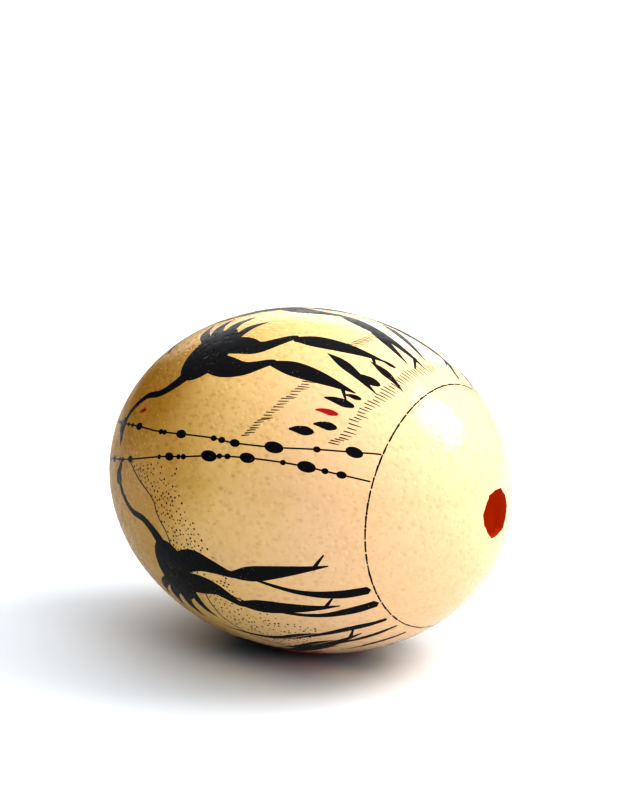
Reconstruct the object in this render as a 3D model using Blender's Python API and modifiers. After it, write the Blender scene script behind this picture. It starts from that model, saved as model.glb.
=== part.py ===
"""A blown ostrich egg, lying on its side: one hollow shell with a chipped blow hole and a small flat spot to rest on.

The frame: +Z up, the origin in the middle of the flat spot, +X along the egg's long axis to the end with the hole.
"""

import math

import bmesh
import bpy

# Driving dimensions, in metres
LENGTH = 0.156
WIDTH = 0.122
WIDEST_SHIFT = 0.0005  # the widest section lies this far behind the middle, away from the hole
WALL = 0.002
FLAT_DEPTH = 0.00045  # how much the flat spot takes off the shell
MIDDLE_AHEAD = 0.00013  # the hole takes the tip off one end, so the egg's middle lies this far towards it
HOLE_ACROSS = 0.0027  # the hole's centre, sideways from the egg's axis
HOLE_ABOVE = 0.0008  # and above it

# The chipped rim's corners: degrees round the egg's axis from the top towards -Y, and metres from the hole's centre
RIM_CORNERS = (
    (0, 0.0080),
    (27, 0.0080),
    (50, 0.0075),
    (80, 0.0082),
    (108, 0.0077),
    (140, 0.0076),
    (165, 0.0086),
    (190, 0.0082),
    (218, 0.0084),
    (246, 0.0075),
    (278, 0.0077),
    (304, 0.0082),
    (333, 0.0089),
)

# How finely the round faces are cut
OUTER_RINGS, OUTER_STEPS = 36, 72
INNER_RINGS, INNER_STEPS = 24, 48
MERGE = 0.0001

CENTRE_HEIGHT = WIDTH / 2 - FLAT_DEPTH
SHELL_COLOUR = (0.86, 0.70, 0.43, 1.0)


def clear_scene():
    for thing in list(bpy.data.objects):
        bpy.data.objects.remove(thing)


def new_collection(name):
    collection = bpy.data.collections.new(name)
    bpy.context.scene.collection.children.link(collection)
    return collection


def eggshell_material():
    material = bpy.data.materials.new("eggshell")
    material.use_nodes = True
    shader = material.node_tree.nodes["Principled BSDF"]
    shader.inputs["Base Color"].default_value = SHELL_COLOUR
    shader.inputs["Roughness"].default_value = 0.3
    shader.inputs["Metallic"].default_value = 0.0
    return material


def egg_radius(along, length, width, shift):
    """The egg's radius at a place along its axis, measured from the middle towards the hole."""
    top = length**2 - 4 * along**2
    bottom = length**2 + 8 * shift * along + 4 * shift**2
    return width / 2 * math.sqrt(max(top, 0.0) / bottom)


def egg_axis(collection):
    """The empty that lays the egg down: its Z is the egg's axis, and points at the hole end."""
    axis = bpy.data.objects.new("egg_axis", None)
    axis.location = (MIDDLE_AHEAD, 0.0, CENTRE_HEIGHT)
    axis.rotation_euler = (0.0, math.radians(90), 0.0)
    collection.objects.link(axis)
    return axis


def turned_egg(name, length, width, rings, steps, axis, collection):
    """A solid egg: its outline from pole to pole, turned about the axis."""
    outline = bmesh.new()
    before = None
    for ring in range(rings + 1):
        angle = math.pi * ring / rings
        along = length / 2 * math.cos(angle)
        radius = egg_radius(along, length, width, WIDEST_SHIFT) if 0 < ring < rings else 0.0
        point = outline.verts.new((radius, 0.0, along))
        if before is not None:
            outline.edges.new((before, point))
        before = point
    mesh = bpy.data.meshes.new(name)
    outline.to_mesh(mesh)
    outline.free()
    egg = bpy.data.objects.new(name, mesh)
    egg.parent = axis
    collection.objects.link(egg)
    turn = egg.modifiers.new("turn", "SCREW")
    turn.axis = "Z"
    turn.steps = turn.render_steps = steps
    turn.use_merge_vertices = True
    turn.merge_threshold = MERGE
    turn.use_smooth_shade = True
    return egg


def as_cutter(thing):
    thing.hide_render = True
    thing.display_type = "WIRE"
    return thing


def hole_cutter(axis, collection):
    """A prism with the chipped rim's outline, long enough to pass through the shell's end."""
    reach = 0.02
    outline = bpy.data.curves.new("hole_outline", "CURVE")
    outline.dimensions = "2D"
    outline.fill_mode = "BOTH"
    outline.extrude = reach / 2
    spline = outline.splines.new("POLY")
    spline.points.add(len(RIM_CORNERS) - 1)
    spline.use_cyclic_u = True
    for point, (degrees, radius) in zip(spline.points, RIM_CORNERS):
        turn = math.radians(degrees)
        down = -(HOLE_ABOVE + radius * math.cos(turn))
        across = HOLE_ACROSS - radius * math.sin(turn)
        point.co = (down, across, 0.0, 1.0)
    flat = bpy.data.objects.new("hole_outline", outline)
    flat.parent = axis
    flat.location = (0.0, 0.0, LENGTH / 2)
    collection.objects.link(flat)
    bpy.context.view_layer.update()

    graph = bpy.context.evaluated_depsgraph_get()
    prism = bpy.data.meshes.new_from_object(flat.evaluated_get(graph))
    welded = bmesh.new()
    welded.from_mesh(prism)
    bmesh.ops.remove_doubles(welded, verts=welded.verts, dist=MERGE)
    bmesh.ops.recalc_face_normals(welded, faces=welded.faces)
    welded.to_mesh(prism)
    welded.free()
    cutter = bpy.data.objects.new("hole_cutter", prism)
    cutter.matrix_world = flat.matrix_world
    collection.objects.link(cutter)
    bpy.data.objects.remove(flat)
    return as_cutter(cutter)


def flat_spot_cutter(collection):
    """A block whose top is the surface that the egg stands on."""
    side, depth = 0.06, 0.01
    bpy.ops.mesh.primitive_cube_add(size=1.0, location=(0.0, 0.0, -depth / 2))
    block = bpy.context.active_object
    block.name = "flat_spot_cutter"
    block.scale = (side, side, depth)
    bpy.ops.object.transform_apply(location=False, rotation=False, scale=True)
    for collection_now in block.users_collection:
        collection_now.objects.unlink(block)
    collection.objects.link(block)
    return as_cutter(block)


def cut(solid, cutter):
    modifier = solid.modifiers.new(cutter.name, "BOOLEAN")
    modifier.operation = "DIFFERENCE"
    modifier.solver = "EXACT"
    modifier.object = cutter


def build_egg():
    clear_scene()
    pieces = new_collection("decorated_ostrich_egg")
    cutters = new_collection("cutters")
    axis = egg_axis(pieces)

    shell = turned_egg("eggshell", LENGTH, WIDTH, OUTER_RINGS, OUTER_STEPS, axis, pieces)
    shell.data.materials.append(eggshell_material())

    cavity = as_cutter(
        turned_egg("cavity", LENGTH - 2 * WALL, WIDTH - 2 * WALL, INNER_RINGS, INNER_STEPS, axis, cutters)
    )
    cut(shell, cavity)
    cut(shell, hole_cutter(axis, cutters))
    cut(shell, flat_spot_cutter(cutters))


build_egg()
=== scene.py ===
"""A painted ostrich egg: blown through a chipped hole in one end, and lying on its side on a pale table.

Lengths are in metres. A place on the egg is given as along, in millimetres from the egg's middle towards the
hole, and turn, in degrees round its long axis from the top down the side that faces the camera.
"""

import math
import random

import bpy
import numpy as np
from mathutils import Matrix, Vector, geometry, kdtree, noise


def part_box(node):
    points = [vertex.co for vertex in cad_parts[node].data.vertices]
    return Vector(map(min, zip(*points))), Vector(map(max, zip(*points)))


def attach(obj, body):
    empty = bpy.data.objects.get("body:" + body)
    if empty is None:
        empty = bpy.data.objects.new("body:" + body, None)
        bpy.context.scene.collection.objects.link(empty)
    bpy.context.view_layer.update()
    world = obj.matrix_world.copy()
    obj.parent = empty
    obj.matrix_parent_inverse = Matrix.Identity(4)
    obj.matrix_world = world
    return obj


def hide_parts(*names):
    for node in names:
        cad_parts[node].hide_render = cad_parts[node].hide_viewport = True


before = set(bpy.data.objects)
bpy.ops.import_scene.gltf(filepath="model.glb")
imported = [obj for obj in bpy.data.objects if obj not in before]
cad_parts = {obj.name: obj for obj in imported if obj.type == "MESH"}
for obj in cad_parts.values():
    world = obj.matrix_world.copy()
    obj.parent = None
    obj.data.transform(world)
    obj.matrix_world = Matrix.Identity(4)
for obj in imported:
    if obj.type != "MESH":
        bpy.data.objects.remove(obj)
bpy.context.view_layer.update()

# The shell's form. One ostrich egg of hard lime, about 2 mm thick all round and nearly the same at both
# ends. It lies on a small flat spot under its widest part, so it doesn't roll.

MM = 0.001
EGG_LENGTH = 0.156
WIDEST_BEHIND = 0.0005
WALL = 0.002

egg_low, egg_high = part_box("eggshell")
EGG_WIDTH = egg_high.y - egg_low.y
EGG_MIDDLE = Vector((egg_low.x + EGG_LENGTH / 2, 0.0, egg_high.z - EGG_WIDTH / 2))


def egg_radius(along):
    """How far the shell is from the egg's long axis, at a distance along it from the middle."""
    above = max(EGG_LENGTH**2 - 4 * along**2, 0.0)
    below = EGG_LENGTH**2 + 8 * WIDEST_BEHIND * along + 4 * WIDEST_BEHIND**2
    return EGG_WIDTH / 2 * math.sqrt(above / below)


def along_at_radius(radius):
    """The place near the hole's end where the shell is this far from the axis."""
    low, high = 0.0, EGG_LENGTH / 2
    for _ in range(40):
        middle = (low + high) / 2
        if egg_radius(middle) > radius:
            low = middle
        else:
            high = middle
    return low


def on_egg(along, turn):
    """A place on the shell as a point from the egg's middle."""
    radius, angle = egg_radius(along * MM), math.radians(turn)
    return Vector((along * MM, -radius * math.sin(angle), radius * math.cos(angle)))


def outward(point):
    """The way the shell faces at a point from the egg's middle."""
    return Vector((point.x * (EGG_WIDTH / EGG_LENGTH) ** 2, point.y, point.z)).normalized()


def on_sheet(point):
    """Where a point of the egg lies once the shell is unrolled to a sheet, its closed end in the middle."""
    polar = math.acos(max(-1.0, min(1.0, -2 * point.x / EGG_LENGTH)))
    around = math.atan2(point.y, point.z)
    return Vector((math.cos(around), math.sin(around))) * math.tan(polar / 2)


# The blow hole. It was drilled and then chipped wider by hand, a little off the egg's tip, so its rim is an
# uneven ring of short breaks. Each corner has a turn and a reach in millimetres.

HOLE_SIDEWAYS, HOLE_UP = 0.0027, 0.0008
RIM_CORNERS = (
    (0, 8.0),
    (27, 8.0),
    (50, 7.5),
    (80, 8.2),
    (108, 7.7),
    (140, 7.6),
    (165, 8.6),
    (190, 8.2),
    (218, 8.4),
    (246, 7.5),
    (278, 7.7),
    (304, 8.2),
    (333, 8.9),
)
RIM_STEP, RIM_CHIP, CHIP_SIZE = 0.0006, 0.00022, 0.0011
WELL_CLEAR_OF_HOLE = 0.012


def rim_outline():
    """The rim's points across the end of the egg, each from the hole's centre as (sideways, up)."""
    corners = [
        Vector((-math.sin(math.radians(turn)), math.cos(math.radians(turn)))) * reach * MM
        for turn, reach in RIM_CORNERS
    ]
    points = []
    for corner, following in zip(corners, corners[1:] + corners[:1]):
        count = max(2, round((following - corner).length / RIM_STEP))
        for step in range(count):
            point = corner.lerp(following, step / count)
            chip = RIM_CHIP * noise.noise(Vector((point.x, point.y, 0.0)) / CHIP_SIZE)
            points.append(point * (1 + chip / point.length))
    return points


def rim_point(across):
    """A point of the rim outline as a point on the shell, from the egg's middle."""
    sideways, up = across.x + HOLE_SIDEWAYS, across.y + HOLE_UP
    return Vector((along_at_radius(math.hypot(sideways, up)), sideways, up))


rim = rim_outline()


def in_hole(point, margin):
    """Whether a point on the shell is in the hole, or nearer to its rim than the margin."""
    if point.x < 0:
        return False
    across = Vector((point.y - HOLE_SIDEWAYS, point.z - HOLE_UP))
    if across.length > WELL_CLEAR_OF_HOLE:
        return False
    nearest = min(rim, key=lambda corner: (corner - across).length_squared)
    return across.length < nearest.length + margin


# The painting. Black and red drawing ink, brushed flat on the bare shell by hand, so it has a colour and a
# gloss of its own but no thickness. Each mark is an outline that the shell's faces follow.

INK, RED = 1, 2
OUTLINE_STEP = 0.8
POINT_WIDTH, CAP_WIDTH = 0.08, 0.6

marks = []


def paint(outline, colour):
    """Add a mark from the points of its outline, given from the egg's middle."""
    flat = [on_sheet(point) for point in outline]
    area = sum(a.x * b.y - b.x * a.y for a, b in zip(flat, flat[1:] + flat[:1]))
    if area < 0:
        flat.reverse()
        outline = outline[::-1]
    marks.append((flat, outline, colour))


def through(points, spacing=OUTLINE_STEP, closed=False):
    """A smooth line through given points. Any numbers that follow a point's place change as smoothly."""
    points = [Vector(point) for point in points]
    ends = (points[-1], points[0], points[1]) if closed else (2 * points[0] - points[1], None, None)
    chain = [ends[0], *points, *(ends[1:] if closed else (2 * points[-1] - points[-2],))]
    line = []
    for before, start, end, after in zip(chain, chain[1:], chain[2:], chain[3:]):
        span = (on_egg(end[0], end[1]) - on_egg(start[0], start[1])).length / MM
        count = max(1, round(span / spacing))
        for step in range(count):
            t = step / count
            straight = 2 * start + (end - before) * t
            bend = (2 * before - 5 * start + 4 * end - after) * t**2
            swing = (3 * start - before - 3 * end + after) * t**3
            line.append((straight + bend + swing) / 2)
    if not closed:
        line.append(points[-1])
    return line


def brush(*points, colour=INK):
    """One brush stroke through points of (along, turn, width in millimetres). Width 0 ends it in a point."""
    line = through(points)
    centres = [on_egg(point[0], point[1]) for point in line]
    left, right = [], []
    for index, (centre, point) in enumerate(zip(centres, line)):
        heading = centres[min(index + 1, len(centres) - 1)] - centres[max(index - 1, 0)]
        side = outward(centre).cross(heading).normalized() * point[2] / 2 * MM
        if point[2] > POINT_WIDTH:
            left.append(centre + side)
            right.append(centre - side)
        elif index in (0, len(line) - 1):
            left.append(centre)
    caps = []
    for tip, inner, width in ((centres[-1], centres[-2], line[-1][2]), (centres[0], centres[1], line[0][2])):
        rounded = tip + (tip - inner).normalized() * width * 0.4 * MM
        caps.append([rounded] if width > CAP_WIDTH else [])
    paint(left + caps[0] + right[::-1] + caps[1], colour)


def blob(along, turn, length, width):
    """One dab of black ink, an oval that lies along the egg."""
    centre = on_egg(along, turn)
    forward = (on_egg(along + 0.5, turn) - on_egg(along - 0.5, turn)).normalized()
    side = outward(centre).cross(forward)
    count = max(5, round(math.pi * (length + width) / 2 / OUTLINE_STEP))
    outline = []
    for step in range(count):
        around = 2 * math.pi * step / count
        from_centre = forward * length * math.cos(around) + side * width * math.sin(around)
        outline.append(centre + from_centre / 2 * MM)
    paint(outline, INK)


# The lines round the two ends. They were drawn with a pen while the egg was turned, so they waver, and
# break and thicken here and there. Each has its place along the egg and its number of dashes.

RINGS = ((56.0, 62), (-67.5, 34))
RING_PEN, RING_WAVER = 0.55, 0.3

pen = random.Random(11)
for ring_along, dashes in RINGS:
    for dash in range(dashes):
        start = 360 / dashes * (dash + pen.uniform(-0.04, 0.04))
        sweep = 360 / dashes * pen.uniform(0.86, 0.95)
        here = ring_along + RING_WAVER * math.sin(math.radians(3 * start))
        parts = (0, 0.35, 0.7, 1)
        brush(*((here, start + sweep * part, RING_PEN * pen.uniform(0.7, 1.2)) for part in parts))

# Strings of beads, two on each side of the egg: a fine pen line with round dabs of ink threaded on it, some
# small and some large. Each bead has its place along the egg and its size.

FAR_SIDE = 180
STRING_PEN = 0.5
STRINGS = (
    (
        (-66, 60), (-50, 62.8), (-38, 63.8), (-24, 64.7), (0, 63.7), (10, 63.8), (25, 62.2), (38, 59.2),
        (48, 56.2), (55.8, 52.6),
    ),
    (
        (-66, 82), (-54, 79.2), (-40, 76.7), (-22, 73.1), (-10, 71.4), (1, 69.5), (16, 67.6), (33, 66.3),
        (45, 66.1), (55.3, 65.8),
    ),
)
BEADS = (
    (
        (-63, 2.6), (-59, 3.0), (-56, 1.4), (-54, 1.3), (-50, 3.2), (-46, 1.2), (-43, 1.3), (-38.2, 3.9),
        (-24, 2.0), (-21.6, 1.8), (-13.7, 4.4), (0.7, 2.1), (4.4, 2.4), (9.9, 3.5), (24.6, 6.4), (38.4, 2.2),
        (48.4, 5.6),
    ),
    (
        (-64, 2.2), (-61, 2.8), (-57.5, 1.3), (-53.6, 3.2), (-48, 1.2), (-45, 1.3), (-39.5, 3.1),
        (-21.6, 1.5), (-16.9, 3.9), (-12.6, 1.6), (-10.2, 1.9), (0.7, 6.2), (5.2, 1.8), (8.2, 2.0),
        (16.1, 5.3), (29, 1.6), (36, 6.0), (42, 2.0), (47.5, 3.0),
    ),
)

for side in (0, FAR_SIDE):
    for string, beads in zip(STRINGS, BEADS):
        path = [(along, turn + side) for along, turn in string]
        brush(*((along, turn, STRING_PEN) for along, turn in path))
        line = through(path)
        for along, size in beads:
            place = min(line, key=lambda point: abs(point[0] - along))
            blob(place[0], place[1], size + STRING_PEN, 1.15 + 0.42 * size)

# Bands of stippling beside the strings: a fine wandering edge line, and dots that thin out away from it.
# They are dabbed one by one with the tip of a drawing pen, so no two are quite alike.

STIPPLE_EDGE = (
    (-39, 77.5), (-33, 82), (-29, 84.3), (-23, 88.2), (-20.7, 93), (-16.5, 98.6), (-14.2, 106.8),
    (-12.2, 111.3), (-6.6, 112.5), (-4.4, 116.7), (-3.8, 123.7), (-2, 130), (3, 137), (9, 143), (20, 148),
)
STIPPLE_REACH = (
    (-13, 74), (-10, 77), (-8, 84), (-6, 89), (-1, 93), (4, 98), (8, 108), (11, 116), (17, 121), (26, 128),
    (36, 134),
)
STIPPLE_DOTS, DOT_SIZE, DOT_APART = 360, 0.74, 1.12

for side in (0, FAR_SIDE):
    brush(*((along, turn + side, STRING_PEN) for along, turn in STIPPLE_EDGE))
    edge_line, reach_line = through(STIPPLE_EDGE), through(STIPPLE_REACH)
    dots = []
    while len(dots) < STIPPLE_DOTS:
        share = pen.random()
        near = edge_line[int(share * len(edge_line))]
        far = reach_line[int(share * len(reach_line))]
        place = near.lerp(far, 0.04 + 0.92 * pen.random() ** 1.35)
        spot = on_egg(place[0], place[1] + side)
        if all((spot - other).length > DOT_APART * MM for other in dots):
            dots.append(spot)
            size = DOT_SIZE * pen.uniform(0.7, 1.25)
            blob(place[0], place[1] + side, size, size)

# Bands of hatching, as grass is drawn: short fine pen strokes along the egg, in loose uneven rows. Each
# band has the slant of its strokes in degrees, and its own course.

HATCHES = (
    (-1.2, ((13, 61), (18, 54), (21, 48), (24, 42), (26, 37))),
    (-0.6, ((42.5, 55.5), (45, 51), (45.5, 44), (46.5, 38), (48, 30), (48.6, 20), (48.8, 8), (49, -6))),
    (-2.2, ((27, 19), (29, 12), (29, 3), (28, -6))),
)
HATCH_PEN, HATCH_TIP, HATCH_APART, HATCH_LONG = 0.34, 0.16, 1.35, 4.2

for side in (0, FAR_SIDE):
    for slant, band in HATCHES:
        for place in through([(along, turn + side) for along, turn in band], HATCH_APART):
            start = place[0] - HATCH_LONG / 2 * pen.uniform(0.5, 1.2)
            end = place[0] + HATCH_LONG / 2 * pen.uniform(0.4, 1.2)
            swing = slant * pen.uniform(0.7, 1.3) * (end - start) / HATCH_LONG
            half_way = ((start + end) / 2, place[1] + swing / 2, HATCH_PEN)
            brush((start, place[1], HATCH_PEN), half_way, (end, place[1] + swing, HATCH_TIP))

# Fallen leaves between the hatching, single dabs with one drawn-out end, two of them red on each side. Each
# has its place, its length, its width and its ink.

LEAVES = (
    (31, 54.3, 7.6, 3.2, INK),
    (37.6, 50, 6.8, 2.9, INK),
    (36.2, 44.8, 6.8, 2.2, RED),
    (38, 39.2, 9.2, 2.9, INK),
    (41, 34.9, 4.6, 1.8, INK),
    (41, 24.9, 7.9, 3.4, INK),
    (41.5, 12, 5.2, 1.5, INK),
    (-38.9, 57.7, 3.6, 1.6, RED),
)

for side in (0, FAR_SIDE):
    for along, turn, length, width, colour in LEAVES:
        half = length / 2
        brush(
            (along - half, turn + 0.6 + side, 0.6),
            (along - half * 0.4, turn + side, width * 0.7),
            (along + half * 0.4, turn - 0.3 + side, width),
            (along + half, turn - 0.6 + side, width * 0.5),
            colour=colour,
        )

# Tall grass, in single strokes of a loaded brush: blades that swell and run out to a point, standing on the
# ring, with broad leaves drifting between them. A few blades on each side are red.

GRASS = (
    ((54, 118, 3.2), (46, 117, 3.4), (34, 114, 1.9), (20, 109, 0.9), (8, 106, 0)),
    ((54.5, 127, 3.0), (47, 127, 3.2), (36, 126, 1.7), (22, 122, 1.2), (2, 115, 0)),
    ((54, 140, 1.4), (44, 138, 2.6), (32, 138, 1.6), (16, 140, 0)),
    ((54.5, 149, 0.8), (46, 148, 2.0), (34, 147, 1.0), (24, 147, 0)),
    ((53, 160, 1.0), (44, 157, 1.8), (30, 155, 0)),
    ((33, 137, 0), (25, 137, 1.8), (12, 139, 2.0), (-8, 136, 0)),
    ((36, 144, 0), (28, 144, 2.0), (18, 147, 1.4), (6, 151, 0)),
)
RED_GRASS = (
    ((35, 150, 0), (26, 150, 1.7), (14, 154, 2.8), (4, 161, 0)),
    ((27, 155, 0), (19, 156, 2.8), (8, 161, 2.6), (0, 166, 0)),
)
DRIFTING_LEAVES = (
    ((22, -3, 0), (29, -1, 3.6), (36, 1.5, 2.6), (46, 5, 0)),
    ((24, 22, 0), (31, 23.5, 3.4), (38, 25.5, 2.6), (47, 29, 0)),
    ((20, -14, 0), (28, -12.5, 3.2), (36, -10, 2.4), (47, -6, 0)),
    ((37, 16, 0), (43, 17, 2.8), (47, 18, 1.8), (52, 20, 0)),
)

for side in (0, FAR_SIDE):
    for colour, strokes in ((INK, GRASS), (RED, RED_GRASS), (INK, DRIFTING_LEAVES)):
        for stroke in strokes:
            brush(*((along, turn + side, width) for along, turn, width in stroke), colour=colour)

# A red sun low on the underside. It is drawing ink, filled in by hand with a full brush, so its edge wavers
# and it is as flat as the other marks.

SUN_ALONG, SUN_TURN, SUN_ACROSS, SUN_POINTS = 5, 172, 42, 28

sun_edge = []
for step in range(SUN_POINTS):
    around = 2 * math.pi * step / SUN_POINTS
    reach = SUN_ACROSS / 2 * pen.uniform(0.97, 1.03)
    along = SUN_ALONG + reach * math.cos(around)
    sun_edge.append((along, SUN_TURN + math.degrees(reach * math.sin(around) * MM / egg_radius(along * MM))))
paint([on_egg(point[0], point[1]) for point in through(sun_edge, closed=True)], RED)

# The running birds. Ostriches stride round the egg with their heads to its closed end, each a few loaded
# strokes of the brush: body, plumes, snaking neck, and long legs that swell and taper to a point.

FARTHEST_ALONG = 77.0


def figure(along, turn, size, facing):
    """How a drawn figure's own millimetres (forward, up) lie on the egg: up is towards the closed end."""

    def place(forward, up, width=None):
        where = along - up * size
        radius = egg_radius(max(-FARTHEST_ALONG, min(FARTHEST_ALONG, where)) * MM) / MM
        spot = (where, turn + facing * math.degrees(forward * size / radius))
        return spot if width is None else (*spot, width * size)

    return place


def shape(place, *points):
    """A filled black shape with a smooth outline through a figure's points."""
    line = through([place(*point) for point in points], closed=True)
    paint([on_egg(point[0], point[1]) for point in line], INK)


BODY = ((-14, 1), (-11, 8), (-3, 12), (6, 12), (12, 8), (12, 1), (6, -5), (-5, -6))
NECK = ((7, 5, 7.5), (13, 9, 4.6), (17, 16, 2.9), (17, 24, 2.4), (20, 31, 2.2), (24, 34.5, 2.6))
HEAD = ((21.6, 36.5), (25, 37.4), (28, 35.8), (33, 33.2), (27.5, 33.0), (23, 32.8))
PLUMES = (
    ((-8, 6, 5), (-15, 10, 4.2), (-23, 9, 0)),
    ((-9, 2, 5), (-17, 3, 4.0), (-25, -1, 0)),
    ((-6, 9, 4), (-12, 15, 3.4), (-20, 17, 0)),
    ((-7, -3, 4), (-15, -5, 3.2), (-21, -10, 0)),
)


def ostrich(along, turn, size, facing, front_foot, back_foot, reach):
    """One bird. Its feet are so far ahead of its body or behind it, and its legs reach so far down."""
    place = figure(along, turn, size, facing)
    shape(place, *BODY)
    brush(*(place(*point) for point in NECK))
    shape(place, *HEAD)
    for plume in PLUMES:
        brush(*(place(*point) for point in plume))
    for foot, hip in ((front_foot, 4), (back_foot, -4)):
        knee = hip + (foot - hip) * 0.25 + 3
        hock = hip + (foot - hip) * 0.55 - 1
        thigh = ((hip, 1, 8.5), (knee, -9, 9.0), (knee - 0.5, -17, 6.0), (hock, -25, 3.0), (hock, -27, 3.2))
        calf, ankle = hock + (foot - hock) * 0.3, hock + (foot - hock) * 0.65
        shank = ((calf, -34, 6.2), (ankle, -44, 5.0), (foot, -reach, 0.4))
        brush(*(place(*point) for point in thigh + shank))
        brush(place(foot * 0.98 - 0.4, 5 - reach, 1.6), place(foot + 4.5, 1 - reach, 0.5))


ostrich(-16, 33, 1.0, 1, front_foot=0, back_foot=-19, reach=57)
ostrich(-14, -8, 0.95, 1, front_foot=6, back_foot=-14, reach=66)
ostrich(-14, 113, 0.95, -1, front_foot=9, back_foot=-9, reach=62)
ostrich(-12, 160, 0.95, -1, front_foot=15, back_foot=-12, reach=60)
ostrich(-16, 213, 1.0, 1, front_foot=0, back_foot=-19, reach=57)
ostrich(-14, 294, 0.95, -1, front_foot=10, back_foot=-12, reach=60)

# The shell as a sheet. The unrolled shell is cut into small even faces that also follow every mark's
# outline, with the outer skin on top, the inner skin below it and the broken edge of the hole between them.

SHELL_POINTS, INNER_POINTS = 74000, 5000
CLEAR_OF_MARKS, CLEAR_OF_RIM, INNER_CLEAR_OF_RIM = 0.00042, 0.0004, 0.0016
GOLDEN_TURN = math.pi * (3 - math.sqrt(5))
SHELL, INSIDE, BREAK = 0, 3, 4
BREAK_DEPTHS = (0.0, 0.35, 0.7, 1.0)


def even_points(count, keep_off, margin):
    """Points spread evenly over the shell on one long spiral, clear of the marks and the hole."""
    points = []
    for index in range(count):
        polar = math.acos(1 - 2 * (index + 0.5) / count)
        along = -EGG_LENGTH / 2 * math.cos(polar)
        radius, around = egg_radius(along), index * GOLDEN_TURN
        point = Vector((along, radius * math.sin(around), radius * math.cos(around)))
        if in_hole(point, margin) or (keep_off is not None and keep_off.find(point)[2] < CLEAR_OF_MARKS):
            continue
        points.append(on_sheet(point))
    return points


rim_on_shell = [rim_point(corner) for corner in rim]
rim_on_sheet = [on_sheet(point) for point in rim_on_shell]
if sum(a.x * b.y - b.x * a.y for a, b in zip(rim_on_sheet, rim_on_sheet[1:] + rim_on_sheet[:1])) < 0:
    rim_on_shell.reverse()
    rim_on_sheet.reverse()

crowded = [point for _, outline, _ in marks for point in outline] + rim_on_shell
outline_tree = kdtree.KDTree(len(crowded))
for index, point in enumerate(crowded):
    outline_tree.insert(point, index)
outline_tree.balance()


def cut_sheet(points, outlines):
    """Join points and outlines into triangles. The first outline is the sheet's own edge."""
    corners = list(points)
    faces = []
    for outline in outlines:
        faces.append(list(range(len(corners), len(corners) + len(outline))))
        corners.extend(outline)
    verts, _, triangles, sources, _, owners = geometry.delaunay_2d_cdt(corners, [], faces, 1, 1e-7)
    found = {source: index for index, group in enumerate(sources) for source in group}
    return verts, triangles, owners, [found[index] for index in faces[0]]


top, top_faces, top_owners, top_rim = cut_sheet(
    even_points(SHELL_POINTS, outline_tree, CLEAR_OF_RIM), [rim_on_sheet] + [flat for flat, _, _ in marks]
)
mark_colours = [SHELL] + [colour for _, _, colour in marks]
under, under_faces, _, under_rim = cut_sheet(
    even_points(INNER_POINTS, None, INNER_CLEAR_OF_RIM), [rim_on_sheet]
)

sheet_verts = [(*point, 0.0) for point in top]
sheet_faces = [tuple(face) for face in top_faces]
face_paint = [mark_colours[max(owner)] if owner else SHELL for owner in top_owners]

rings = [top_rim]
chips = random.Random(5)
for depth in BREAK_DEPTHS[1:-1]:
    rings.append(list(range(len(sheet_verts), len(sheet_verts) + len(rim_on_sheet))))
    for point in rim_on_sheet:
        sheet_verts.append((*(point * (1 + chips.uniform(-0.03, 0.03))), -WALL * depth))
under_start = len(sheet_verts)
sheet_verts += [(*point, -WALL) for point in under]
rings.append([under_start + index for index in under_rim])
for ring, lower in zip(rings, rings[1:]):
    for here in range(len(ring)):
        following = (here + 1) % len(ring)
        sheet_faces.append((ring[here], lower[here], lower[following], ring[following]))
        face_paint.append(BREAK)
sheet_faces += [tuple(under_start + index for index in reversed(face)) for face in under_faces]
face_paint += [INSIDE] * len(under_faces)

sheet_mesh = bpy.data.meshes.new("shell_sheet")
sheet_mesh.from_pydata(sheet_verts, [], sheet_faces)
sheet_mesh.attributes.new("paint", "INT", "FACE").data.foreach_set("value", face_paint)
skin = [1.0] * len(top) + [0.0] * (len(sheet_verts) - len(top))
sheet_mesh.attributes.new("outer_skin", "FLOAT", "POINT").data.foreach_set("value", skin)
sheet_mesh.shade_smooth()
egg_sheet = bpy.data.objects.new("shell_sheet", sheet_mesh)
bpy.context.scene.collection.objects.link(egg_sheet)


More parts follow.
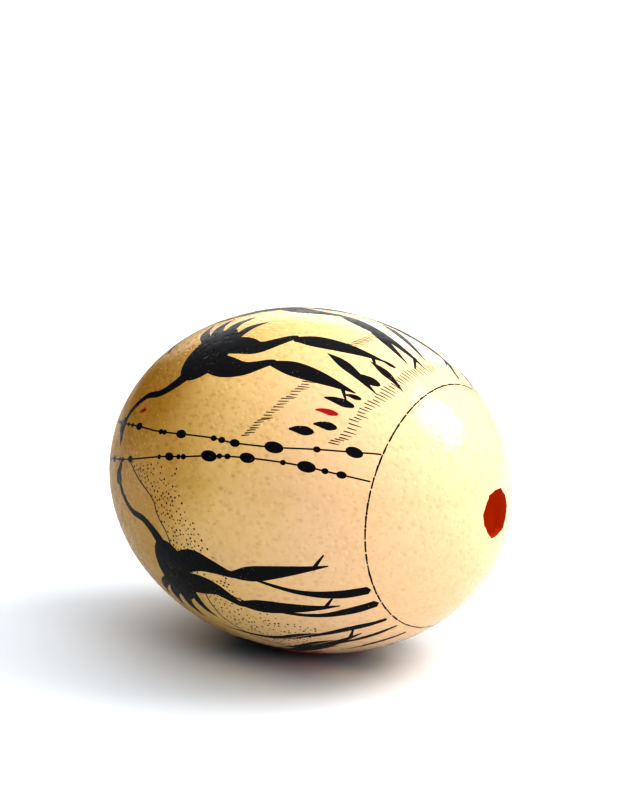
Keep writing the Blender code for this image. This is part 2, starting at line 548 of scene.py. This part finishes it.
def wrap_tree():
    """Wraps the flat sheet round the egg, then sinks the shell's pits and flattens its resting spot."""
    tree = bpy.data.node_groups.new("wrap_round_egg", "GeometryNodeTree")
    sockets = tree.interface
    sockets.new_socket("Sheet", in_out="INPUT", socket_type="NodeSocketGeometry")
    sizes = ("Length", "Width", "Widest Behind", "Wall", "Middle Along", "Middle Height")
    for name in (*sizes, "Pit Spacing", "Pit Depth", "Unevenness"):
        sockets.new_socket(name, in_out="INPUT", socket_type="NodeSocketFloat")
    for name in ("Shell", "Ink", "Red", "Inside", "Break"):
        sockets.new_socket(name, in_out="INPUT", socket_type="NodeSocketMaterial")
    sockets.new_socket("Egg", in_out="OUTPUT", socket_type="NodeSocketGeometry")
    nodes, links = tree.nodes, tree.links
    given = nodes.new("NodeGroupInput").outputs

    def feed(socket, value):
        if isinstance(value, bpy.types.NodeSocket):
            links.new(value, socket)
        else:
            socket.default_value = value

    def calc(operation, *values):
        node = nodes.new("ShaderNodeMath")
        node.operation = operation
        for socket, value in zip(node.inputs, values):
            feed(socket, value)
        return node.outputs[0]

    def named(name):
        node = nodes.new("GeometryNodeInputNamedAttribute")
        node.data_type = "FLOAT"
        node.inputs["Name"].default_value = name
        return node.outputs["Attribute"]

    def moved(geometry_in, **where):
        node = nodes.new("GeometryNodeSetPosition")
        links.new(geometry_in, node.inputs["Geometry"])
        for name, value in where.items():
            links.new(value, node.inputs[name])
        return node.outputs["Geometry"]

    def point_from(x, y, z):
        node = nodes.new("ShaderNodeCombineXYZ")
        for socket, value in zip(node.inputs, (x, y, z)):
            feed(socket, value)
        return node.outputs["Vector"]

    def split_position():
        place = nodes.new("GeometryNodeInputPosition")
        node = nodes.new("ShaderNodeSeparateXYZ")
        links.new(place.outputs["Position"], node.inputs["Vector"])
        return place.outputs["Position"], *node.outputs

    # A point of the sheet goes to the egg whose length and width its depth in the wall leaves
    _, x, y, z = split_position()
    out_from_middle = calc("SQRT", calc("ADD", calc("MULTIPLY", x, x), calc("MULTIPLY", y, y)))
    polar = calc("MULTIPLY", calc("ARCTANGENT", out_from_middle), 2.0)
    around = calc("ARCTAN2", y, x)
    length = calc("ADD", given["Length"], calc("MULTIPLY", z, 2.0))
    width = calc("ADD", given["Width"], calc("MULTIPLY", z, 2.0))
    along = calc("MULTIPLY", calc("MULTIPLY", length, -0.5), calc("COSINE", polar))
    behind = given["Widest Behind"]
    below = calc(
        "ADD",
        calc("MULTIPLY", length, length),
        calc("ADD", calc("MULTIPLY", calc("MULTIPLY", behind, along), 8.0),
             calc("MULTIPLY", calc("MULTIPLY", behind, behind), 4.0)),
    )
    bulge = calc("DIVIDE", calc("MULTIPLY", length, calc("SINE", polar)), calc("SQRT", below))
    radius = calc("MULTIPLY", calc("MULTIPLY", width, 0.5), bulge)
    wrapped = moved(
        given["Sheet"],
        Position=point_from(
            calc("ADD", along, given["Middle Along"]),
            calc("MULTIPLY", radius, calc("SINE", around)),
            calc("ADD", calc("MULTIPLY", radius, calc("COSINE", around)), given["Middle Height"]),
        ),
    )

    # Pits: one round dimple in each cell, some deeper than others, and a slow unevenness under them all
    position, *_ = split_position()
    cells = nodes.new("ShaderNodeTexVoronoi")
    cells.inputs["Randomness"].default_value = 0.9
    links.new(position, cells.inputs["Vector"])
    feed(cells.inputs["Scale"], calc("DIVIDE", 1.0, given["Pit Spacing"]))
    each = nodes.new("ShaderNodeSeparateXYZ")
    links.new(cells.outputs["Color"], each.inputs[0])
    dimple = calc("MAXIMUM", calc("SUBTRACT", 1.0, calc("DIVIDE", cells.outputs["Distance"], 0.55)), 0.0)
    dimple = calc("SMOOTH_MIN", calc("MULTIPLY", dimple, 1.6), 1.0, 0.3)
    deep = calc("MULTIPLY", dimple, calc("MULTIPLY", each.outputs[0], given["Pit Depth"]))
    slow = nodes.new("ShaderNodeTexNoise")
    links.new(position, slow.inputs["Vector"])
    slow.inputs["Scale"].default_value = 70.0
    slow.inputs["Detail"].default_value = 1.0
    uneven = calc("MULTIPLY", calc("SUBTRACT", slow.outputs[0], 0.5), given["Unevenness"])
    sink = calc("MULTIPLY", calc("ADD", deep, uneven), calc("MULTIPLY", named("outer_skin"), -1.0))
    facing = nodes.new("GeometryNodeInputNormal")
    push = nodes.new("ShaderNodeVectorMath")
    push.operation = "SCALE"
    links.new(facing.outputs["Normal"], push.inputs[0])
    links.new(sink, push.inputs["Scale"])
    pitted = moved(wrapped, Offset=push.outputs[0])

    # The flat spot: nothing reaches below the table
    _, x, y, z = split_position()
    rested = moved(pitted, Position=point_from(x, y, calc("MAXIMUM", z, 0.0)))

    realize = nodes.new("GeometryNodeRealizeInstances")
    links.new(rested, realize.inputs["Geometry"])
    finished = realize.outputs["Geometry"]
    for number, name in enumerate(("Shell", "Ink", "Red", "Inside", "Break")):
        same = nodes.new("FunctionNodeCompare")
        same.data_type = "FLOAT"
        same.operation = "EQUAL"
        links.new(named("paint"), same.inputs["A"])
        same.inputs["B"].default_value = float(number)
        coat = nodes.new("GeometryNodeSetMaterial")
        links.new(finished, coat.inputs["Geometry"])
        links.new(same.outputs["Result"], coat.inputs["Selection"])
        links.new(given[name], coat.inputs["Material"])
        finished = coat.outputs["Geometry"]
    links.new(finished, nodes.new("NodeGroupOutput").inputs["Egg"])
    return tree


# The finishes. The shell is a warm cream lime with a natural gloss, mottled a little darker, with a rusty
# speck of a pore in many of its pits. Its colour also carries painted shade: darker and more amber towards
# the closed end, which lies on the shaded side. Ink covers it thinly, so the pits show through the gloss and
# here and there as pinholes.

PIT_SPACING = 0.0024
# Painted shade: the shell's cream turns through honey to a dark amber towards the closed end, on the shaded
# side; the same amber also colours the mottling.
CREAM, HONEY, AMBER_SHADE_AND_MOTTLE = (0.80, 0.57, 0.355, 1.0), (0.80, 0.57, 0.235, 1.0), (0.48, 0.24, 0.006, 1.0)
SHADE_AMBER_TO_HONEY, SHADE_HONEY_TO_CREAM = (-0.03, 0.035), (0.008, 0.075)
PORE = (0.40, 0.17, 0.010, 1.0)
# The pores' specks: size as a share of the pits' spacing, reach, share left clean, strength at either end
SPECKS = ((0.95, 0.46, 0.1, 0.46, 0.13), (0.60, 0.34, 0.4, 0.52, 0.16))
DULL, GLOSSY = 0.34, 0.085
INK_BLACK, INK_RED = (0.006, 0.006, 0.008, 1.0), (0.42, 0.008, 0.008, 1.0)
# Painted light: the inside and the hole's broken edge are given a red colour and a red glow that stand in for
# the daylight coming through the thin shell.
PAINTED_GLOW, DIM_PAINTED_GLOW = (0.45, 0.050, 0.002, 1.0), (0.38, 0.036, 0.002, 1.0)
INSIDE_LIT_RED, INSIDE_LIT_DARK = (0.20, 0.020, 0.002, 1.0), (0.14, 0.012, 0.001, 1.0)


class Finish:
    """A node material in the making: its nodes are added by kind, with sockets or plain values as inputs."""

    def __init__(self, name):
        self.material = bpy.data.materials.new(name)
        self.material.use_nodes = True
        self.tree = self.material.node_tree
        self.shader = self.tree.nodes["Principled BSDF"]
        self.place = self.tree.nodes.new("ShaderNodeTexCoord").outputs["Object"]

    def add(self, kind, output=0, settings=(), **inputs):
        node = self.tree.nodes.new("ShaderNode" + kind)
        for name, value in dict(settings).items():
            setattr(node, name, value)
        for name, value in inputs.items():
            socket = node.inputs[int(name[1:])] if name[1:].isdigit() else node.inputs[name.replace("_", " ")]
            self.feed(socket, value)
        return node.outputs[output]

    def feed(self, socket, value):
        if isinstance(value, bpy.types.NodeSocket):
            self.tree.links.new(value, socket)
        else:
            socket.default_value = value

    def noise(self, size, detail=2.0, roughness=0.5):
        return self.add("TexNoise", Vector=self.place, Scale=1 / size, Detail=detail, Roughness=roughness)

    def ramp(self, value, low, high, start=0.0, end=1.0):
        ends = {"From Min": low, "From Max": high, "To Min": start, "To Max": end}
        return self.add("MapRange", settings={"interpolation_type": "SMOOTHSTEP"}, Value=value, **ends)

    def math(self, operation, first, second=0.0):
        return self.add("Math", settings={"operation": operation}, _0=first, _1=second)

    def mix(self, amount, first, second):
        return self.add("Mix", output=2, settings={"data_type": "RGBA"}, _0=amount, _6=first, _7=second)

    def cells(self, size, output="Distance", randomness=0.9, stretch=1.0):
        place = self.add("Mapping", Vector=self.place, Scale=(1 / stretch, 1.0, 1.0))
        return self.add("TexVoronoi", output=output, Vector=place, Scale=1 / size, Randomness=randomness)

    def end_to_end(self):
        """Metres from the middle towards the hole's end, wavering like a cloud's edge."""
        along = self.add("SeparateXYZ", output=0, Vector=self.place)
        return self.math("ADD", along, self.math("MULTIPLY", self.noise(0.03, 3.0), 0.05))

    def finish(self, color, roughness, height, depth, specular=0.5):
        """Joins up the shader, with relief of this depth."""
        self.feed(self.shader.inputs["Base Color"], color)
        self.feed(self.shader.inputs["Roughness"], roughness)
        self.shader.inputs["Specular IOR Level"].default_value = specular
        bump = self.add("Bump", Height=height, Distance=depth, Strength=1.0)
        self.feed(self.shader.inputs["Normal"], bump)
        return self.material


def pores(look, size, reach, share=0.3):
    """Soft specks at the pits' middles, longer than wide, and stronger in some than in others."""
    each = look.cells(size, "Color", stretch=1.5)
    strength = look.ramp(look.add("SeparateXYZ", output=1, Vector=each), share, 1.0)
    return look.math("MULTIPLY", look.ramp(look.cells(size, stretch=1.5), reach, reach * 0.3), strength)


def shell_color(look):
    """Cream at the hole, with painted shade that turns it amber towards the closed end, and mottled and
    specked more towards that end.
    """
    drift = look.end_to_end()
    # Painted shade: darker and more amber towards the closed end.
    color = look.mix(look.ramp(drift, *SHADE_AMBER_TO_HONEY), AMBER_SHADE_AND_MOTTLE, HONEY)
    color = look.mix(look.ramp(drift, *SHADE_HONEY_TO_CREAM), color, CREAM)
    clouds = look.ramp(look.noise(0.0030, 4.0, 0.65), 0.42, 0.72)
    mottle = look.math("MULTIPLY", clouds, look.ramp(drift, -0.05, 0.07, 0.30, 0.10))
    color = look.mix(mottle, color, AMBER_SHADE_AND_MOTTLE)
    for size, reach, clean, at_closed_end, at_hole in SPECKS:
        specks = pores(look, PIT_SPACING * size, reach, clean)
        strength = look.ramp(drift, -0.05, 0.08, at_closed_end, at_hole)
        color = look.mix(look.math("MULTIPLY", specks, strength), color, PORE)
    return color


def shell_height(look):
    """Sharp little pits at the pores, shallower towards the hole, over a fine grain."""
    deep = look.ramp(look.end_to_end(), -0.03, 0.06, 1.0, 0.5)
    pit = look.ramp(look.cells(PIT_SPACING), 0.40, 0.10, deep, 0.0)
    return look.math("ADD", pit, look.math("MULTIPLY", look.noise(0.0007, 3.0, 0.6), 0.25))


def shell_finish():
    look = Finish("glossy_shell")
    dull_end = look.ramp(look.end_to_end(), -0.05, 0.05, DULL, GLOSSY)
    roughness = look.math("ADD", dull_end, look.ramp(look.noise(0.004, 3.0), 0.3, 0.7, -0.03, 0.07))
    return look.finish(shell_color(look), roughness, shell_height(look), 0.00013, 0.32)


def ink_finish(name, ink, thin, specular):
    """Ink with pinholes here and there, and thin places that let the shell through this much."""
    look = Finish(name)
    pinholes = look.ramp(look.cells(PIT_SPACING * 0.55), 0.17, 0.06)
    here_and_there = look.ramp(look.noise(0.006), 0.5, 0.62)
    bare = look.math("MULTIPLY", look.math("MULTIPLY", pinholes, here_and_there), 0.7)
    worn = look.math("MAXIMUM", bare, look.ramp(look.noise(0.0016, 4.0), 0.62, 0.8, 0.0, thin))
    color = look.mix(worn, ink, shell_color(look))
    shine = look.ramp(look.noise(0.003, 3.0), 0.3, 0.7, 0.24, 0.38)
    return look.finish(color, shine, shell_height(look), 0.00006, specular)


def inside_finish(name, depth, painted_glow):
    """The bare inside, with painted light: a red colour and a glow that stand in for the light that comes
    through the shell.
    """
    look = Finish(name)
    cloudy = look.ramp(look.noise(0.012), 0.3, 0.7)
    look.feed(look.shader.inputs["Emission Color"], look.mix(cloudy, PAINTED_GLOW, DIM_PAINTED_GLOW))
    look.shader.inputs["Emission Strength"].default_value = painted_glow
    color = look.mix(cloudy, INSIDE_LIT_RED, INSIDE_LIT_DARK)
    return look.finish(color, 0.6, look.noise(0.0012), depth, 0.1)


# The egg itself. The shell grew in one piece, so the sheet is wrapped to the egg's shape, given its
# finishes, and kept as one plain closed mesh.

wrap = egg_sheet.modifiers.new("wrap_round_egg", "NODES")
wrap.node_group = wrap_tree()
wrap_settings = {
    "Length": EGG_LENGTH,
    "Width": EGG_WIDTH,
    "Widest Behind": WIDEST_BEHIND,
    "Wall": WALL,
    "Middle Along": EGG_MIDDLE.x,
    "Middle Height": EGG_MIDDLE.z,
    "Pit Spacing": PIT_SPACING,
    "Pit Depth": 0.00007,
    "Unevenness": 0.0003,
    "Shell": shell_finish(),
    "Ink": ink_finish("black_ink", INK_BLACK, 0.02, 0.15),
    "Red": ink_finish("red_ink", INK_RED, 0.15, 0.25),
    # The inside and the broken edge both carry the painted glow.
    "Inside": inside_finish("shell_inside", 0.00005, 0.9),
    "Break": inside_finish("broken_shell", 0.0002, 0.75),
}
for item in wrap.node_group.interface.items_tree:
    if item.in_out == "INPUT" and item.name in wrap_settings:
        wrap[item.identifier] = wrap_settings[item.name]
egg_sheet.update_tag()
bpy.context.view_layer.update()
egg_mesh = bpy.data.meshes.new_from_object(egg_sheet.evaluated_get(bpy.context.evaluated_depsgraph_get()))
egg_mesh.name = "egg_shell"
bpy.data.objects.remove(egg_sheet)
egg = bpy.data.objects.new("egg_shell", egg_mesh)
bpy.context.scene.collection.objects.link(egg)
egg_mesh.materials.pop(index=0)
finishes = [wrap_settings[name] for name in ("Shell", "Ink", "Red", "Inside", "Break")]
INSIDE_SLOT, BREAK_SLOT = (egg_mesh.materials[:].index(finishes[paint]) for paint in (INSIDE, BREAK))

# The map that the finish is spread out on: the outer skin fills a square, folded out from the near side to
# the far side with no pole at either end, and the inside and the broken edge lie small beside it.

SKIN_SQUARE, MAP_EDGE, INSIDE_DISC, BREAK_STRIP = 0.92, 0.008, 0.056, 0.05


def read(source, name, width=1, kind=float):
    values = np.empty(len(source) * width, kind)
    source.foreach_get(name, values)
    return values.reshape(-1, width) if width > 1 else values


def fold_out(toward, sign_x, sign_z):
    """An equal-area square for the egg: the near half is the square's middle, the far half its corners."""
    near = -toward[:, 1]
    reach = np.sqrt(np.maximum(1 - np.abs(near), 0))
    share = np.arctan2(sign_z * toward[:, 2], sign_x * toward[:, 0]) / (math.pi / 2)
    first, second = reach * (1 - share), reach * share
    first, second = np.where(near < 0, 1 - second, first), np.where(near < 0, 1 - first, second)
    return sign_x * first, sign_z * second


corner_verts = read(egg_mesh.loops, "vertex_index", kind=int)
face_starts = read(egg_mesh.polygons, "loop_start", kind=int)
face_sizes = read(egg_mesh.polygons, "loop_total", kind=int)
face_slots = read(egg_mesh.polygons, "material_index", kind=int)
points = read(egg_mesh.vertices, "co", 3) - np.array(EGG_MIDDLE)
toward = points / (np.array((EGG_LENGTH, EGG_WIDTH, EGG_WIDTH)) / 2)
toward = (toward / np.linalg.norm(toward, axis=1)[:, None])[corner_verts]
face_middle = np.repeat(np.add.reduceat(toward, face_starts, axis=0), face_sizes, axis=0)
own, shared = np.where(toward < 0, -1.0, 1.0), np.where(face_middle < 0, -1.0, 1.0)
crosses = (own[:, [0, 2]] != shared[:, [0, 2]]).any(axis=1)
split = np.repeat(np.add.reduceat(crosses, face_starts) > 0, face_sizes)
on_far_side = np.repeat(np.maximum.reduceat(toward[:, 1], face_starts) > 0, face_sizes)
signs = np.where((split & on_far_side)[:, None], shared, own)
across, up = fold_out(toward, signs[:, 0], signs[:, 2])
skin_map = MAP_EDGE + SKIN_SQUARE * (np.column_stack((across, up)) + 1) / 2

round_axis = np.arctan2(toward[:, 1], toward[:, 2])
from_closed_end = np.sqrt((1 + toward[:, 0]) / 2)
inside_map = 1 - INSIDE_DISC * 0.55 + INSIDE_DISC / 2 * np.column_stack(
    (from_closed_end * np.cos(round_axis), -from_closed_end * np.sin(round_axis))
)

from_hole = points[corner_verts] + np.array((0.0, -HOLE_SIDEWAYS, -HOLE_UP))
round_hole = np.arctan2(from_hole[:, 1], from_hole[:, 2])
face_from_hole = [np.add.reduceat(from_hole[:, axis], face_starts) for axis in (1, 2)]
face_round = np.repeat(np.arctan2(*face_from_hole), face_sizes)
round_hole = face_round + (round_hole - face_round + math.pi) % (2 * math.pi) - math.pi
depth_in = np.clip((EGG_LENGTH / 2 - points[corner_verts, 0]) / (2 * WALL), 0, 1)
break_map = np.column_stack(
    (0.1 + 0.7 * (0.5 - round_hole / (2 * math.pi)), 1 - BREAK_STRIP + 0.8 * BREAK_STRIP * depth_in)
)

corner_slots = np.repeat(face_slots, face_sizes)[:, None]
skin_or_inside = np.where(corner_slots == INSIDE_SLOT, inside_map, skin_map)
laid_out = np.where(corner_slots == BREAK_SLOT, break_map, skin_or_inside)
egg_mesh.uv_layers.new(name="OFBake").data.foreach_set("uv", laid_out.ravel())

# The rim's two edges. The shell is hard lime and breaks sharply, so the broken edge is crisp where it meets
# the outer and the inner skin.

edge_sides = {}
for face in egg_mesh.polygons:
    for edge in face.edge_keys:
        edge_sides.setdefault(edge, set()).add(face.material_index == BREAK_SLOT)
for edge in egg_mesh.edges:
    edge.use_edge_sharp = len(edge_sides[edge.key]) > 1

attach(egg, "root")
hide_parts("eggshell")

# The table: a plain sheet of pale, nearly matt paper that runs on past the picture on every side. The egg
# only lies on it.

TABLE_REACH = 14.0
PAPER, PAPER_GRAIN = (0.76, 0.775, 0.795, 1.0), 0.0000015

table_mesh = bpy.data.meshes.new("table_top")
table_corners = [(x * TABLE_REACH, y * TABLE_REACH, 0) for x, y in ((-1, -1), (1, -1), (1, 1), (-1, 1))]
table_mesh.from_pydata(table_corners, [], [(0, 1, 2, 3)])
table_top = bpy.data.objects.new("table_top", table_mesh)
bpy.context.scene.collection.objects.link(table_top)
paper = Finish("pale_paper")
table_mesh.materials.append(paper.finish(PAPER, 0.7, paper.noise(0.002), PAPER_GRAIN))

# The light: soft daylight from the right, with a lower part that throws the long shadow, one bright pane
# that shows in the gloss, and a pale far wall that only shows there. The room fades away from the window's
# side, so the closed end and the table under the egg stay dark.

ROOM_DARKEST, ROOM_BRIGHTEST = 0.03, 1.95
ROOM_COLOUR = (0.95, 0.975, 1.0, 1.0)


def from_direction(turn, lift):
    """The way to a light, in degrees: round from the egg's hole end, and up from the table."""
    turn, lift = math.radians(turn), math.radians(lift)
    return Vector((math.cos(turn) * math.cos(lift), math.sin(turn) * math.cos(lift), math.sin(lift)))


def add_lamp(name, kind, toward, energy, distance=2.0, in_gloss=True, on_surfaces=True):
    light = bpy.data.lights.new(name, kind)
    light.energy = energy
    lamp = bpy.data.objects.new(name, light)
    lamp.location = EGG_MIDDLE + toward * distance
    lamp.rotation_euler = toward.to_track_quat("Z", "Y").to_euler()
    lamp.visible_glossy, lamp.visible_diffuse = in_gloss, on_surfaces
    bpy.context.scene.collection.objects.link(lamp)
    return light


daylight = add_lamp("daylight", "SUN", from_direction(14, 34), 0.26)
daylight.angle = math.radians(55)
low_daylight = add_lamp("low_daylight", "SUN", from_direction(-12, 21), 0.70, in_gloss=False)
low_daylight.angle = math.radians(20)
window = add_lamp("window", "AREA", from_direction(42, 43), 14, 1.6)
window.shape, window.size, window.size_y = "RECTANGLE", 0.85, 0.72
far_wall = add_lamp("far_wall", "AREA", from_direction(128, 20), 5, 1.5, on_surfaces=False)
far_wall.shape, far_wall.size, far_wall.size_y = "RECTANGLE", 1.3, 0.7

world = bpy.data.worlds.new("pale_room")
world.use_nodes = True
room = world.node_tree
facing_window = room.nodes.new("ShaderNodeVectorMath")
facing_window.operation = "DOT_PRODUCT"
facing_window.inputs[1].default_value = from_direction(40, 68)
room.links.new(room.nodes.new("ShaderNodeTexCoord").outputs["Generated"], facing_window.inputs[0])
brightness = room.nodes.new("ShaderNodeMapRange")
room.links.new(facing_window.outputs["Value"], brightness.inputs["Value"])
brightness.inputs["To Min"].default_value = ROOM_DARKEST
brightness.inputs["To Max"].default_value = ROOM_BRIGHTEST
room.links.new(brightness.outputs[0], room.nodes["Background"].inputs["Strength"])
room.nodes["Background"].inputs["Color"].default_value = ROOM_COLOUR
bpy.context.scene.world = world

# The camera stands where the photograph was taken from: off to the side of the hole's end, and a little
# above the egg, looking down. Its colours are given the photograph's strong contrast.

FRAME_WIDTH, FRAME_HEIGHT = 640, 800
LENS_PIXELS = 2600
CAMERA_TURN, CAMERA_TILT, CAMERA_REACH = 37.28, 14.03, 0.9254
EGG_IN_FRAME = (309.7, 479.7)

turn, tilt = math.radians(CAMERA_TURN), math.radians(CAMERA_TILT)
right = Vector((math.cos(turn), math.sin(turn), 0.0))
ahead = Vector((-math.sin(turn) * math.cos(tilt), math.cos(turn) * math.cos(tilt), -math.sin(tilt)))
up = right.cross(ahead)
lens = bpy.data.cameras.new("camera")
lens.sensor_width = 36.0
lens.lens = LENS_PIXELS / FRAME_HEIGHT * lens.sensor_width
camera = bpy.data.objects.new("camera", lens)
across, down = EGG_IN_FRAME[0] - FRAME_WIDTH / 2, EGG_IN_FRAME[1] - FRAME_HEIGHT / 2
camera.location = EGG_MIDDLE - CAMERA_REACH * (ahead + right * across / LENS_PIXELS - up * down / LENS_PIXELS)
camera.rotation_euler = ahead.to_track_quat("-Z", "Y").to_euler()
bpy.context.scene.collection.objects.link(camera)
bpy.context.scene.camera = camera
bpy.context.scene.view_settings.view_transform = "Standard"
bpy.context.scene.view_settings.gamma = 0.67
bpy.context.scene.view_settings.exposure = 0.10
